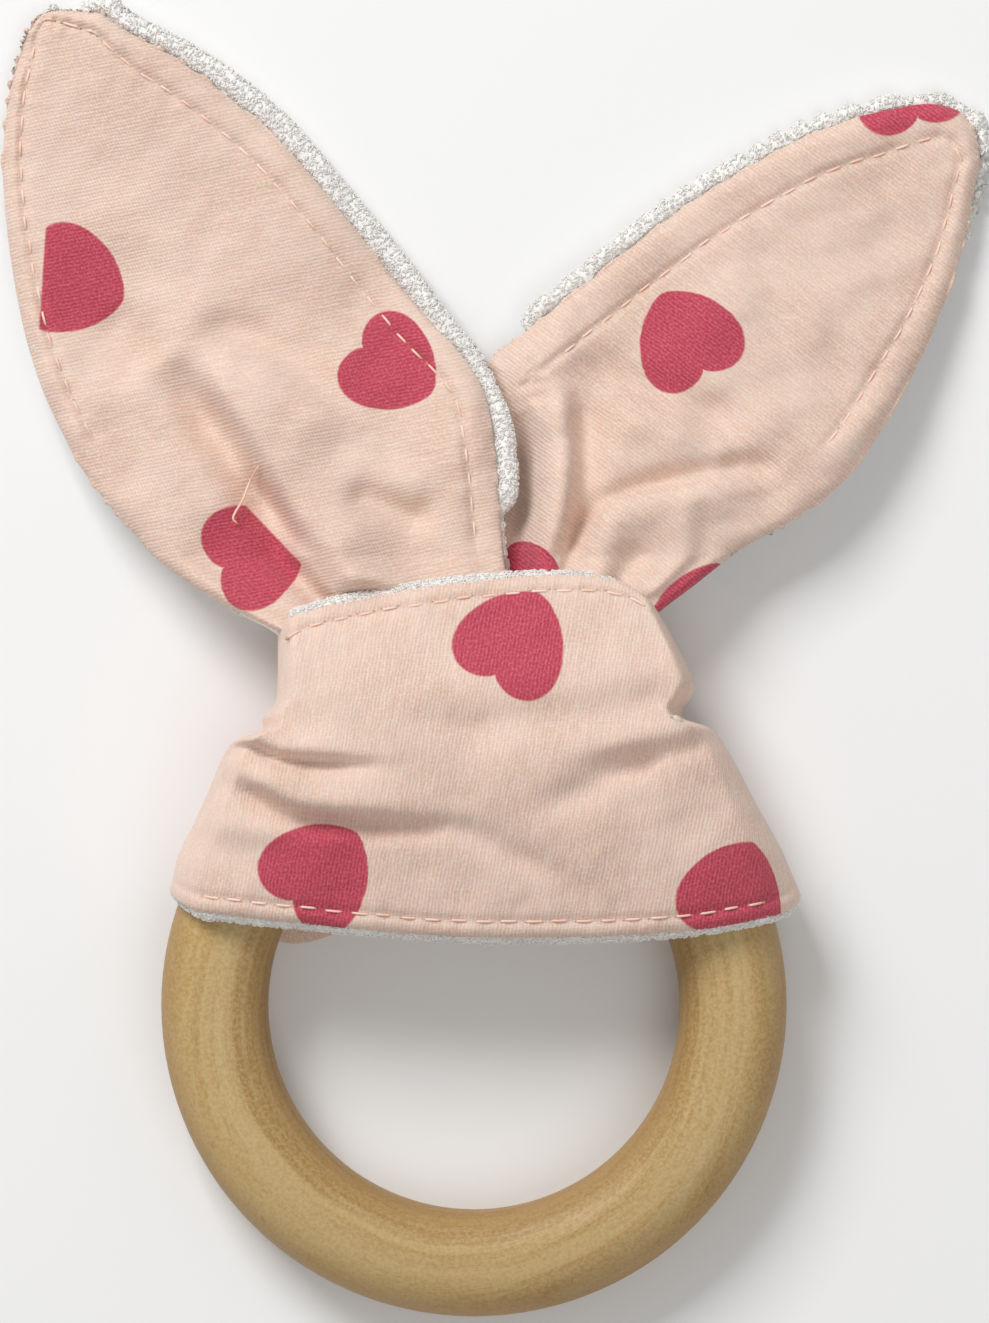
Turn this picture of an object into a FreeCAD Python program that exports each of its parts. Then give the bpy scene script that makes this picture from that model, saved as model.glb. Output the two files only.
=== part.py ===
import FreeCAD, Part
import math
import os

# A wooden teething ring with a two-ply cloth strip tied round it in a cow hitch.
# The toy lies on its back: +Z is up, the ears point to +Y, and the table is z = 0.
# The middle of the strip is the band over the front of the ring. It goes round the
# ring's flanks to the back, through the hole, up in front of the ring under the band,
# and its two ends leave the top of the band as the ears.
# Plan positions are measured from the ring's centre and moved to the origin at the end.

# Driving dimensions, in millimetres.
RING_OD = 70.0
RING_ID = 46.0
RING_THICK = 11.0
RING_CENTRE = (-2.35, -39.0)    # puts the origin under the middle of the whole toy
COTTON = 0.9                    # printed cotton and its turned seam allowance
TERRY = 2.2                     # towelling ply with its loops
TAIL = 2.9                      # each strip end where it is pressed under the band
BACK_PILE = 4.0                 # cloth between the ring's back and the table
RING_CLEARANCE = 0.3
RING_LIFT = 0.06                # the tilted section reaches this much below its middle
EAR_SPLIT_X = 4.3               # the two ears part on this line
MOUTH_Y = 49.8                  # the strip ends turn into ears here
HINGE_Y = 49.6                  # an ear bends round the band's top edge
HINGE_Z = 13.4
THROAT_Y = 10.5                 # lowest cloth inside the ring's hole
THROAT_HALF_WIDTH = 14.0
MIDDLE_GAP = 0.4                # half the gap between left and right cloth
WRAP_INNER_R = 33.0             # the flank cloth starts on the ring's shoulder
LEFT_WRAP_LOW_Y = 14.0
RIGHT_WRAP_LOW_Y = 11.0
WRAP_HIGH_Y = 43.5
STITCH_PITCH = 2.8
STITCH_LENGTH = 1.9
THREAD_RADIUS = 0.18
THREAD_LIFT = 0.32              # thread axis above the cloth
SPAN = 140.0                    # half-size of the boxes that cut regions
HEIGHT = 40.0

# Heights of the band's outer surface above the table: along Y over the ring, and along
# X where it falls to the flanks. The surface is the lower of the two.
BAND_CROWN_Y = [(3.0, 17.0), (12.0, 18.8), (22.0, 20.7), (29.0, 21.4), (35.0, 20.3), (42.0, 17.0), (51.0, 12.6)]
BAND_CROWN_X = [(-40.0, 7.0), (-34.0, 13.0), (-29.0, 17.3), (-15.0, 21.2), (0.0, 22.0), (15.0, 21.2),
                (29.0, 17.3), (34.0, 13.6), (40.0, 8.0)]
# Heights of an ear's upper surface: it leaves the mouth, sags and lies on the table.
EAR_CROWN_Y = [(40.0, 10.6), (50.0, 9.9), (60.0, 8.5), (72.0, 5.6), (84.0, 3.6), (96.0, 3.1), (116.0, 3.1)]
# Top of the gathered cloth behind the ring, which thickens above the ring.
WRAP_CROWN_Y = [(5.0, 4.2), (20.0, 4.2), (32.0, 4.3), (38.0, 6.6), (48.0, 7.4)]

# Plan outlines, as end-to-end sides. Two points are a straight side, more are a curve.
BAND_TOP = [(-21.9, 41.9), (-19.6, 44.9), (-9.0, 47.4), (4.0, 49.0), (13.5, 49.0), (18.2, 47.0), (19.8, 43.8)]
BAND_BOTTOM = [(37.0, 9.4), (22.0, 7.0), (0.0, 6.5), (-20.0, 8.1), (-33.9, 9.8)]
BAND_SIDES = [
    BAND_TOP,
    [(19.8, 43.8), (23.6, 36.5), (23.6, 31.2)],
    [(23.6, 31.2), (27.6, 28.8), (33.4, 17.8), (37.0, 9.4)],
    BAND_BOTTOM,
    [(-33.9, 9.8), (-32.6, 16.5), (-28.6, 26.0), (-23.8, 30.2)],
    [(-23.8, 30.2), (-22.2, 35.0), (-21.9, 41.9)],
]
LEFT_EAR_OUTER = [(-36.0, 50.3), (-44.4, 60.8), (-50.2, 74.0), (-53.0, 90.0), (-52.7, 101.5), (-50.6, 109.6)]
LEFT_EAR_TIP = [(-50.6, 109.6), (-48.2, 112.2), (-41.5, 113.0)]
LEFT_EAR_INNER = [(-41.5, 113.0), (-30.6, 107.3), (-19.4, 98.2), (-5.0, 80.4), (1.6, 72.0), (3.6, 65.0),
                  (4.1, 50.3)]
RIGHT_EAR_INNER = [(4.5, 75.2), (19.8, 87.6), (30.0, 94.4), (40.2, 99.4), (51.5, 101.8)]
RIGHT_EAR_TIP = [(51.5, 101.8), (56.4, 99.6), (58.0, 95.0)]
RIGHT_EAR_OUTER = [(58.0, 95.0), (55.0, 82.0), (49.6, 70.2), (41.0, 58.0), (28.8, 50.3)]
LEFT_TAIL_SIDES = [
    [(-THROAT_HALF_WIDTH, THROAT_Y), (-MIDDLE_GAP, THROAT_Y)],
    [(-MIDDLE_GAP, THROAT_Y), (-MIDDLE_GAP, 32.0)],
    [(-MIDDLE_GAP, 32.0), (EAR_SPLIT_X - MIDDLE_GAP, 42.0)],
    [(EAR_SPLIT_X - MIDDLE_GAP, 42.0), (EAR_SPLIT_X - MIDDLE_GAP, MOUTH_Y)],
    [(EAR_SPLIT_X - MIDDLE_GAP, MOUTH_Y), (-35.5, MOUTH_Y)],
    [(-35.5, MOUTH_Y), (-28.0, 44.6), (-20.0, 40.6)],
    [(-20.0, 40.6), (-16.5, 31.0), (-THROAT_HALF_WIDTH, THROAT_Y)],
]
RIGHT_TAIL_SIDES = [
    [(MIDDLE_GAP, THROAT_Y), (THROAT_HALF_WIDTH, THROAT_Y)],
    [(THROAT_HALF_WIDTH, THROAT_Y), (16.0, 31.0), (18.5, 42.0)],
    [(18.5, 42.0), (23.5, 46.2), (28.0, MOUTH_Y)],
    [(28.0, MOUTH_Y), (EAR_SPLIT_X + MIDDLE_GAP, MOUTH_Y)],
    [(EAR_SPLIT_X + MIDDLE_GAP, MOUTH_Y), (EAR_SPLIT_X + MIDDLE_GAP, 42.0)],
    [(EAR_SPLIT_X + MIDDLE_GAP, 42.0), (MIDDLE_GAP, 32.0)],
    [(MIDDLE_GAP, 32.0), (MIDDLE_GAP, THROAT_Y)],
]

# Worked out from the driving dimensions.
RING_MEAN_R = (RING_OD + RING_ID) / 4.0
TUBE_HALF_WIDTH = (RING_OD - RING_ID) / 4.0
TUBE_HALF_THICK = RING_THICK / 2.0
BAND = COTTON + TERRY
RING_TILT = math.asin(BACK_PILE / (2.0 * RING_MEAN_R))    # the far edge lies on the table
RING_HEIGHT = TUBE_HALF_THICK + BACK_PILE / 2.0 + RING_LIFT


def vector(x, y, z=0.0):
    return FreeCAD.Vector(x, y, z)


def edge_through(points):
    """A straight edge through two points, or a smooth one through more."""
    if len(points) == 2:
        return Part.LineSegment(points[0], points[1]).toShape()
    spline = Part.BSplineCurve()
    spline.interpolate(points)
    return spline.toShape()


def plan_prism(sides):
    """Upright prism on the outline made by the sides."""
    edges = [edge_through([vector(x, y, -1.0) for x, y in side]) for side in sides]
    return Part.Face(Part.Wire(edges)).extrude(vector(0, 0, HEIGHT))


def box(low, high):
    size = [b - a for a, b in zip(low, high)]
    return Part.makeBox(size[0], size[1], size[2], vector(*low))


def under_line(stations, drop, along_x):
    """Everything under a height line, lowered by drop, that runs along X or along Y."""
    def place(station, height):
        if along_x:
            return vector(station, -SPAN, height)
        return vector(-SPAN, station, height)
    first = stations[0][0]
    last = stations[-1][0]
    top = edge_through([place(s, z - drop) for s, z in stations])
    corners = [place(last, stations[-1][1] - drop), place(last, -HEIGHT), place(first, -HEIGHT),
               place(first, stations[0][1] - drop)]
    sides = [edge_through(list(pair)) for pair in zip(corners, corners[1:])]
    sweep = vector(0, 2 * SPAN, 0) if along_x else vector(2 * SPAN, 0, 0)
    return Part.Face(Part.Wire([top] + sides)).extrude(sweep)


def under_band(drop):
    """The space under the band's outer surface, lowered by drop."""
    return under_line(BAND_CROWN_Y, drop, False).common(under_line(BAND_CROWN_X, drop, True))


def tube_section(grow):
    """Ring section from two arcs that meet in a fine line on the front and the back."""
    half_width = TUBE_HALF_WIDTH + grow
    half_thick = TUBE_HALF_THICK + grow
    outer = vector(RING_MEAN_R + half_width, 0, 0)
    inner = vector(RING_MEAN_R - half_width, 0, 0)
    front = vector(RING_MEAN_R, 0, half_thick)
    back = vector(RING_MEAN_R, 0, -half_thick)
    arcs = [Part.Arc(back, outer, front).toShape(), Part.Arc(front, inner, back).toShape()]
    return Part.Face(Part.Wire(arcs))


def ring(grow=0.0):
    """The ring, tilted so that its lower edge is on the table and its top is on the cloth."""
    solid = tube_section(grow).revolve(vector(0, 0, 0), vector(0, 0, 1), 360)
    solid.rotate(vector(0, 0, 0), vector(1, 0, 0), math.degrees(RING_TILT))
    solid.translate(vector(0, 0, RING_HEIGHT))
    return solid


def band_ply(top_drop, bottom_drop):
    layer = under_band(top_drop).cut(under_band(bottom_drop))
    return plan_prism(BAND_SIDES).common(layer).cut(ring(RING_CLEARANCE))


def tail(sides, low_x, high_x):
    """A strip end: up through the hole and on over the ring's front to the mouth."""
    front = plan_prism(sides).common(under_band(BAND).cut(under_band(BAND + TAIL)))
    throat = box((low_x, THROAT_Y, 0.0), (high_x, RING_ID / 2, HEIGHT)).common(under_band(BAND))
    return front.fuse(throat).cut(ring(RING_CLEARANCE)).removeSplitter()


def wrap(low_x, high_x, low_y, own_tail):
    """Cloth from the band's side, round the ring's flank and across the back."""
    region = plan_prism(BAND_SIDES).common(box((low_x, low_y, 0.0), (high_x, WRAP_HIGH_Y, HEIGHT)))
    back = region.common(under_line(WRAP_CROWN_Y, 0.0, False))
    hole = Part.makeCylinder(WRAP_INNER_R, 2 * HEIGHT, vector(0, 0, -HEIGHT))
    inner = box((-SPAN, WRAP_INNER_R, -HEIGHT), (SPAN, SPAN, HEIGHT))
    flank = region.common(under_band(BAND)).cut(hole).cut(inner)
    return back.fuse(flank).cut(ring(RING_CLEARANCE)).cut(own_tail).removeSplitter()


def ear_ply(sides, top_drop, bottom_drop):
    layer = under_line(EAR_CROWN_Y, top_drop, False).cut(under_line(EAR_CROWN_Y, bottom_drop, False))
    return plan_prism(sides).common(layer)


def line_height(stations, position):
    """Height of the smooth line through the stations at one position."""
    spline = Part.BSplineCurve()
    spline.interpolate([vector(s, 0, z) for s, z in stations])
    upright = Part.LineSegment(vector(position, 0, -HEIGHT), vector(position, 0, HEIGHT))
    return spline.intersect(upright)[0].Z


def band_height(x, y):
    return min(line_height(BAND_CROWN_Y, y), line_height(BAND_CROWN_X, x))


def ear_height(x, y):
    return line_height(EAR_CROWN_Y, y)


def stitch_row(height_at, side, inset, first=0.0, last=1.0):
    """Thread stitches on the cloth, inset to the right of the side's direction."""
    line = edge_through([vector(x, y) for x, y in side])
    curve = line.Curve
    start = line.Length * first
    count = int(line.Length * (last - first) / STITCH_PITCH)
    stitches = []
    for index in range(count):
        ends = []
        for offset in (0.0, STITCH_LENGTH):
            parameter = curve.parameterAtDistance(start + index * STITCH_PITCH + offset, line.FirstParameter)
            point = curve.value(parameter)
            direction = vector(*curve.tangent(parameter)[0])
            x = point.x + direction.y * inset
            y = point.y - direction.x * inset
            ends.append(vector(x, y, height_at(x, y) + THREAD_LIFT))
        along = ends[1] - ends[0]
        stitches.append(Part.makeCylinder(THREAD_RADIUS, along.Length, ends[0], along))
    return stitches


def write(node, shape):
    shape = shape.copy()
    shape.translate(vector(RING_CENTRE[0], RING_CENTRE[1], 0.0))
    shape.exportStep("parts/" + node + ".step")
    return shape


def build():
    left_tail = tail(LEFT_TAIL_SIDES, -THROAT_HALF_WIDTH, -MIDDLE_GAP)
    right_tail = tail(RIGHT_TAIL_SIDES, MIDDLE_GAP, THROAT_HALF_WIDTH)
    left_ear_sides = [LEFT_EAR_OUTER, LEFT_EAR_TIP, LEFT_EAR_INNER, [LEFT_EAR_INNER[-1], LEFT_EAR_OUTER[0]]]
    right_root = (RIGHT_EAR_INNER[0][0], RIGHT_EAR_OUTER[-1][1])
    right_ear_sides = [RIGHT_EAR_INNER, RIGHT_EAR_TIP, RIGHT_EAR_OUTER, [RIGHT_EAR_OUTER[-1], right_root],
                       [right_root, RIGHT_EAR_INNER[0]]]
    return {
        "wooden_ring": ring(),
        "band_cotton": band_ply(0.0, COTTON),
        "band_terry": band_ply(COTTON, BAND),
        "left_wrap": wrap(-SPAN, -MIDDLE_GAP, LEFT_WRAP_LOW_Y, left_tail),
        "right_wrap": wrap(MIDDLE_GAP, SPAN, RIGHT_WRAP_LOW_Y, right_tail),
        "left_tail": left_tail,
        "right_tail": right_tail,
        "left_ear_cotton": ear_ply(left_ear_sides, 0.0, COTTON),
        "left_ear_terry": ear_ply(left_ear_sides, COTTON, BAND),
        "right_ear_cotton": ear_ply(right_ear_sides, 0.0, COTTON),
        "right_ear_terry": ear_ply(right_ear_sides, COTTON, BAND),
        "band_stitching": Part.makeCompound(
            stitch_row(band_height, BAND_TOP, 3.0, 0.08, 0.97) + stitch_row(band_height, BAND_BOTTOM, 2.4, 0.05)),
        "left_ear_stitching": Part.makeCompound(
            stitch_row(ear_height, LEFT_EAR_OUTER, 4.0, 0.12, 0.95)
            + stitch_row(ear_height, LEFT_EAR_INNER, 5.0, 0.05, 0.97)),
        "right_ear_stitching": Part.makeCompound(
            stitch_row(ear_height, RIGHT_EAR_INNER, 6.0, 0.08, 0.95)
            + stitch_row(ear_height, RIGHT_EAR_OUTER, 4.5, 0.05, 0.8)),
    }


os.makedirs("parts", exist_ok=True)
whole = Part.makeCompound([write(node, shape) for node, shape in build().items()])
print("box", whole.optimalBoundingBox(False, False))
print("ring centre", RING_CENTRE, RING_HEIGHT, "tilt", math.degrees(RING_TILT))
print("hinge line y, z", HINGE_Y + RING_CENTRE[1], HINGE_Z)
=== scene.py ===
import math

import bpy
import numpy as np
from bpy.props import FloatProperty, FloatVectorProperty, IntProperty, PointerProperty
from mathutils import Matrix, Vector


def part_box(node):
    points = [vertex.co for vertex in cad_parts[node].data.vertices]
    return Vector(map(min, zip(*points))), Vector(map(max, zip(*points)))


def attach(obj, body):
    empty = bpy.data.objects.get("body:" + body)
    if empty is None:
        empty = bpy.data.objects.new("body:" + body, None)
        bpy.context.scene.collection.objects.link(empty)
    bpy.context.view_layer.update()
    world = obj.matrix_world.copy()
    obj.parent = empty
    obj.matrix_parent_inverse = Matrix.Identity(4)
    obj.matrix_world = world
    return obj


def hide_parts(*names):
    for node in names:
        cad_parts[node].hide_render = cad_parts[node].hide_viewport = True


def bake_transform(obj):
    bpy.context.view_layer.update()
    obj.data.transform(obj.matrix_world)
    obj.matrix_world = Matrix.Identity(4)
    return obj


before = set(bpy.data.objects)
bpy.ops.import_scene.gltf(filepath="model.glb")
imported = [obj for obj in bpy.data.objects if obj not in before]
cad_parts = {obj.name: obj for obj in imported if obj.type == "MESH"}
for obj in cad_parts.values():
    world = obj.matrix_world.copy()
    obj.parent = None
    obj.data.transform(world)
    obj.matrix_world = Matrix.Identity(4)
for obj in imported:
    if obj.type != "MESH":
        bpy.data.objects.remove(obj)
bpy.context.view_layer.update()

bl_info = {
    "name": "Bunny-ear teething ring",
    "version": (1, 0, 0),
    "blender": (4, 5, 0),
    "location": "View3D > Sidebar > Teether",
    "description": "Cloth, stitching, wood and stage for a teething ring with a knotted cloth strip",
    "category": "Object",
}

# Everything is worked out in millimetres from the ring's centre, and moved by this to the frame.
MM = 0.001
RING_LOW, RING_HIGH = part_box("wooden_ring")
RING_X = (RING_LOW.x + RING_HIGH.x) / 2 / MM
RING_Y = (RING_LOW.y + RING_HIGH.y) / 2 / MM
RING_MEAN_R = 29.0
RING_Z = 7.56
RING_TILT = math.radians(3.9546)
TUBE_ARC_R = 5.521              # the ring's section is two arcs of this radius
TUBE_ARC_SHIFT = 0.479          # whose centres are this far apart from the middle
TABLE = 0.12                    # lowest cloth
LINING_TABLE = TABLE + 0.3      # lowest towelling of the band
COTTON_GAPS = (1.5, 1.1)        # band's cotton to the ring, from its outer and its inner face
LINING_GAPS = (1.05, 0.12)      # band's towelling to the ring, likewise
STRIP_GAP = 0.15                # ears' towelling to the ring, under the band
BEND_Y = (44.0, 56.0)           # the ears bend between these rows
EAR_FOOT = 50.3                 # row where the ears' plans begin, just past the band
FLANK = 3.0                     # the band's cloth turns down this far from its sides
LINING_INSETS = (1.18, 0.93)    # towelling's edge from the band's outline, at the foot and the top
LOOP_BORDER = 1.8               # width of the looped border of the band's lining
FRONT_STEPS = 124               # columns of the band's front
BACK_STEPS = 56                 # columns of each half of the band's back
FRONT_COLUMN = 120              # a column of the whole band near the middle of its front
LOOP_COLUMNS = 22               # columns past the front that still carry loops
MOST_LOOPS = 7000               # most towelling loops on one piece
AT_ONCE = 20000                 # points measured against a line in one go

# Heights of the cloth, as in the fitted solids.
BAND_CROWN_Y = [(3, 17), (12, 18.8), (22, 20.7), (29, 21.4), (35, 20.3), (42, 17), (51, 12.6)]
BAND_CROWN_X = [(-40, 7), (-34, 13), (-29, 17.3), (-15, 21.2), (0, 22), (15, 21.2), (29, 17.3), (34, 13.6),
    (40, 8)]
EAR_CROWN_Y = [(40, 10.6), (50, 9.9), (60, 8.5), (72, 5.9), (84, 4.2), (96, 3.5), (116, 3.2)]

# Plan outlines.
BAND_LEFT = [(-33.9, 9.8), (-33.1, 15), (-31.2, 19.3), (-29.3, 23.8), (-27.7, 27.5), (-26, 29.1),
    (-23.6, 29.7), (-23.5, 31.2), (-22, 33.4), (-21.9, 41.9)]
BAND_RIGHT = [(37, 9.4), (34.4, 16), (31.6, 21.4), (28.8, 26.9), (26.7, 30), (23.7, 31), (23.2, 32),
    (24.4, 33.8), (24.2, 36), (19.8, 43.8)]
LINING_LEFT = [(-33.4, 9.8), (-31.8, 15.5), (-27.8, 23.5), (-22.6, 30.2), (-20.8, 34), (-21.2, 42.4)]
LINING_RIGHT = [(36.4, 9.4), (33, 16), (27.6, 25.6), (22, 31.2), (22, 35), (18.7, 43.8)]
BAND_BOTTOM = [(-33.9, 9.8), (-20, 8.1), (0, 6.5), (22, 7), (37, 9.4)]
BAND_TOP = [(-21.9, 41.9), (-19.6, 44.9), (-9, 47.4), (4, 49), (13.5, 49), (18.2, 47), (19.8, 43.8)]

# Way of the band's ends across its back, on each side: (point at the foot, point at the top, height).
BACK_PLAN = {
    -1: [((-21, 7), (-15, 34), 0.35), ((-10, 10.5), (-9, 28), 0.5), ((-2, 12), (-2, 22.5), 2.6)],
    1: [((24, 10.5), (13, 34), 0.35), ((11, 11.5), (8, 28), 0.5), ((2, 12.5), (2, 22.5), 2.6)],
}

# Each ear: the sides of its outline seen from above; how far the cotton's edge (rim), the
# towelling's edge (lining) and the seam (stitch) lie inside the outline, as (share of its length,
# millimetres); the shares that carry stitches; its end of the strip under the band, as
# (y, z, low x, high x); and the turn and the centre of the cotton's ribs.
LEFT = {
    "name": "left_ear",
    "left": [(-36, 50.3), (-44.4, 60.8), (-50.2, 74), (-53, 90), (-52.7, 101.5), (-50.6, 109.6)],
    "far": [(-50.6, 109.6), (-48.2, 112.2), (-41.5, 113)],
    "right": [(4.1, 50.3), (3.6, 65), (1.6, 72), (-5, 80.4), (-19.4, 98.2), (-30.6, 107.3), (-41.5, 113)],
    "rim": [(0, 0), (0.3, 0.1), (0.4, 0.2), (0.44, 0.7), (0.5, 2.1), (0.6, 2.7), (0.76, 2.4), (0.87, 1.9),
        (0.92, 1.5), (0.955, 1.2), (1, 0.7)],
    "lining": [(0, 2.4), (0.3, 2.2), (0.4, 1.8), (0.45, 1.1), (0.85, 1), (0.91, 0.95), (0.95, 0.9),
        (1, 1.4)],
    "stitch": [(0, 3.2), (0.12, 2.9), (0.3, 2.3), (0.38, 1.9), (0.425, 1.2), (0.46, 3.3), (0.52, 5.8),
        (0.6, 6.3), (0.8, 6), (0.93, 4.6), (1, 3.7)],
    "rows": [(0.1, 0.415), (0.43, 0.995)],
    "tail": [(47, 11.4, -31.5, 3.9), (44.6, 12.4, -28, 3.7), (40.6, 14.6, -20, 3), (36, 16.6, -15.5, 0.2),
        (29, 18, -13.5, -0.6), (23, 16.6, -12.8, -0.8), (19.6, 12.5, -12.5, -0.8), (18.8, 7, -12, -0.8),
        (19.5, 3.2, -11, -0.8)],
    "ribs": 12,
    "centre": (-20, 70),
}
RIGHT = {
    "name": "right_ear",
    "left": [(3.2, 50.3), (3, 60), (2.6, 66), (1.2, 72)],
    "far": [(1.2, 72), (5, 75.6), (19.8, 87.6), (30, 94.4), (40.2, 99.4), (51.5, 101.8), (56.4, 99.6),
        (58, 95)],
    "right": [(28.8, 50.3), (41, 58), (49.6, 70.2), (55, 82), (58, 95)],
    "rim": [(0, 0), (0.15, 0), (0.19, 0.5), (0.25, 0.7), (0.55, 0.6), (0.62, 0.9), (0.74, 0.9), (0.86, 0.3),
        (0.94, 0.1), (1, 0)],
    "lining": [(0, 1.3), (0.14, 1.3), (0.2, 0.47), (0.56, 0.45), (0.65, 0.95), (0.85, 1.4), (0.94, 2),
        (1, 2.4)],
    "stitch": [(0, 5), (0.17, 5), (0.25, 5.3), (0.5, 5.3), (0.58, 4), (0.62, 3.2), (0.67, 3.4), (0.8, 4.4),
        (1, 4.7)],
    "rows": [(0.235, 0.595), (0.61, 0.9)],
    "tail": [(47, 11.4, 4.2, 24.6), (44.6, 12.4, 4.2, 21.8), (42, 13.8, 4, 18.5), (36, 16.6, 1.5, 17),
        (29, 18, 0.6, 15.5), (23, 16.6, 0.8, 13.5), (19.6, 12.5, 0.8, 12.5), (18.8, 7, 0.8, 12),
        (19.5, 3.2, 0.8, 11)],
    "ribs": -37.5,
    "centre": (28, 75),
}
EARS = (LEFT, RIGHT)

# Printed hearts, as (x, y, direction of the point in degrees, size).
BAND_HEARTS = [(5.06, 41.8, 60.5, 5.4), (-16.2, 16, 46, 5.4), (29.4, 13.97, 69, 5.3), (-46, 30, 20, 5.4),
    (50, 34, 120, 5.4)]
LEFT_HEARTS = [(-43.9, 80.7, -19, 5.4), (-8.3, 71, -33, 4.9), (-23.2, 51.2, 25, 5.2)]
RIGHT_HEARTS = [(23.3, 75.8, 117.6, 5.15), (48.4, 105, 105, 5.5), (7, 48.6, 0, 2.9), (26.5, 44.2, 80, 6)]

# Folds, as lines on the plan: (points, side of the steep face, lift, gentle width, steep width,
# sink, reach, fade at the start, fade at the end). RELIEF multiplies their lift and sink.
RELIEF = 1.15
BAND_FOLDS = [
    ([(-25.7, 27.1), (-23.9, 25.3), (-20, 23), (-15.1, 22.3), (-6.1, 21.6), (2, 21.6)], -1, 1.9, 3.6, 0.9,
     1.8, 1.3, 0.12, 0.55),
    ([(-24.5, 29.9), (-20.7, 28.6), (-14.3, 28.1), (-7, 27.6)], -1, 1.5, 2.4, 0.6, 1.5, 1, 0, 0.65),
    ([(5, 21.8), (7.5, 22.6), (12.7, 24.4), (15.8, 26.1), (22, 27.6)], -1, -0.9, 1.8, 1.8, 0, 1.6, 0.3,
     0.2),
    ([(-11, 32.3), (2, 31.6), (15.8, 33.6), (23, 34.6)], -1, -0.9, 2.3, 2.3, 0, 1.6, 0.3, 0.1),
    ([(-6.9, 22), (2, 18.5), (11.7, 13.7), (14.4, 11)], -1, -0.6, 1.5, 1.5, 0, 1.8, 0.3, 0.4),
    ([(10, 28.8), (17, 29.6), (23.5, 31.2)], -1, 0.8, 2, 1.4, 0.7, 1.4, 0.5, 0),
    ([(-30, 21), (-24, 20), (-18, 20.5)], -1, 0.5, 1.8, 1.8, 0.2, 1.4, 0.3, 0.4),
]
LEFT_FOLDS = [
    ([(-30.9, 75.4), (-27.6, 69.1), (-23.8, 63.4), (-20.4, 57), (-16.6, 49), (-15.6, 45.5)], -1, 3, 6.5,
     2.4, 2.9, 2.4, 0.26, 0),
    ([(-32, 76.4), (-27.3, 75.8), (-23.4, 74.1), (-18.2, 70.2), (-12.5, 65.5)], -1, -1.4, 2.1, 2.1, 0, 2,
     0.2, 0.3),
    ([(-26.5, 71.5), (-20, 68), (-13, 62)], -1, 1.2, 2.8, 2.8, 0, 2, 0.25, 0.4),
    ([(-42, 78), (-38.5, 74.8), (-35.5, 71)], -1, -1.2, 3, 3, 0, 2, 0.3, 0.3),
    ([(-14.8, 57.4), (-9, 55.6), (-4.2, 53.6)], -1, -1.3, 1.6, 1.8, 0, 2, 0.25, 0.25),
    ([(-16, 61.8), (-9, 59.2), (-3, 57.2)], -1, 0.9, 2.2, 2.2, 0, 2, 0.3, 0.3),
    ([(-27.6, 59.6), (-23.6, 54.6), (-19.2, 49.8), (-16.8, 46.8)], 1, 0.9, 3.2, 0.9, 1.2, 1.4, 0.4, 0),
    ([(-4, 68), (-2, 60), (-1.5, 50)], 1, 0.7, 2.6, 2, 0.2, 1.6, 0.5, 0),
    ([(-40, 99), (-32, 94), (-26, 86)], 1, -0.7, 4.5, 4.5, 0, 1.6, 0.4, 0.4),
    ([(-46, 92), (-38, 87), (-30, 80.5)], 1, 0.6, 3.5, 3.5, 0, 1.6, 0.4, 0.4),
]
RIGHT_FOLDS = [
    ([(9, 70.5), (10, 66.6), (10.5, 62), (10.1, 56.5), (9.5, 49.5)], 1, 2.4, 3.2, 1.2, 2.1, 2.2, 0.28, 0),
    ([(5.1, 69), (4.8, 60), (4.9, 50)], 1, -2.6, 1.7, 1.9, 0, 1, 0.35, 0),
    ([(8.3, 72), (16.5, 70.2), (22.3, 68), (27.3, 65.7), (29.8, 61.5)], 1, -1.4, 2.2, 2.2, 0, 1, 0.3, 0.2),
    ([(13.5, 66.5), (20, 64.6), (25.5, 61.5)], 1, 0.9, 2.4, 2.4, 0, 1, 0.35, 0.3),
    ([(27, 61.2), (30.5, 60.2), (35.5, 60.8)], 1, -1.1, 1.5, 1.5, 0, 1, 0.3, 0.4),
    ([(10.6, 49), (13.6, 53.8), (17.9, 56.4), (26, 58.2), (34, 60)], 1, 1.8, 3.8, 0.8, 1.4, 1.6, 0, 0.5),
    ([(19.5, 52), (17.4, 48.8), (16.5, 45.5)], 1, -1.2, 2, 2, 0, 1, 0.4, 0),
    ([(22, 57), (23.6, 53.5), (23.5, 47)], 1, 0.7, 2, 1.4, 0.4, 1.4, 0.4, 0),
    ([(34, 84), (38, 77), (36, 70)], 1, 0.7, 3.5, 2.4, 0.3, 2.4, 0.4, 0.4),
    ([(44, 90), (46, 82), (43, 75)], 1, -0.6, 3, 3, 0, 2.4, 0.4, 0.4),
]


def settings():
    return bpy.context.scene.teether


def mm(name):
    """A length from the settings, in millimetres."""
    return getattr(settings(), name) / MM


def length(name, description, value):
    """A property that holds a length given in millimetres."""
    return FloatProperty(name=name, description=description, default=value * MM, min=0.0, precision=5,
                         unit="LENGTH", subtype="DISTANCE")


def linear(red, green, blue):
    """A colour given as 0 to 255 screen values, as the shader needs it."""
    values = [c / 255 for c in (red, green, blue)]
    return tuple(c / 12.92 if c <= 0.04045 else ((c + 0.055) / 1.055) ** 2.4 for c in values) + (1.0,)


def colour(name, description, screen):
    """A property that holds a colour given as 0 to 255 screen values."""
    return FloatVectorProperty(name=name, description=description, default=linear(*screen), size=4, min=0.0,
                               max=1.0, subtype="COLOR")


# ---------------------------------------------------------------- curves and grids

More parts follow.
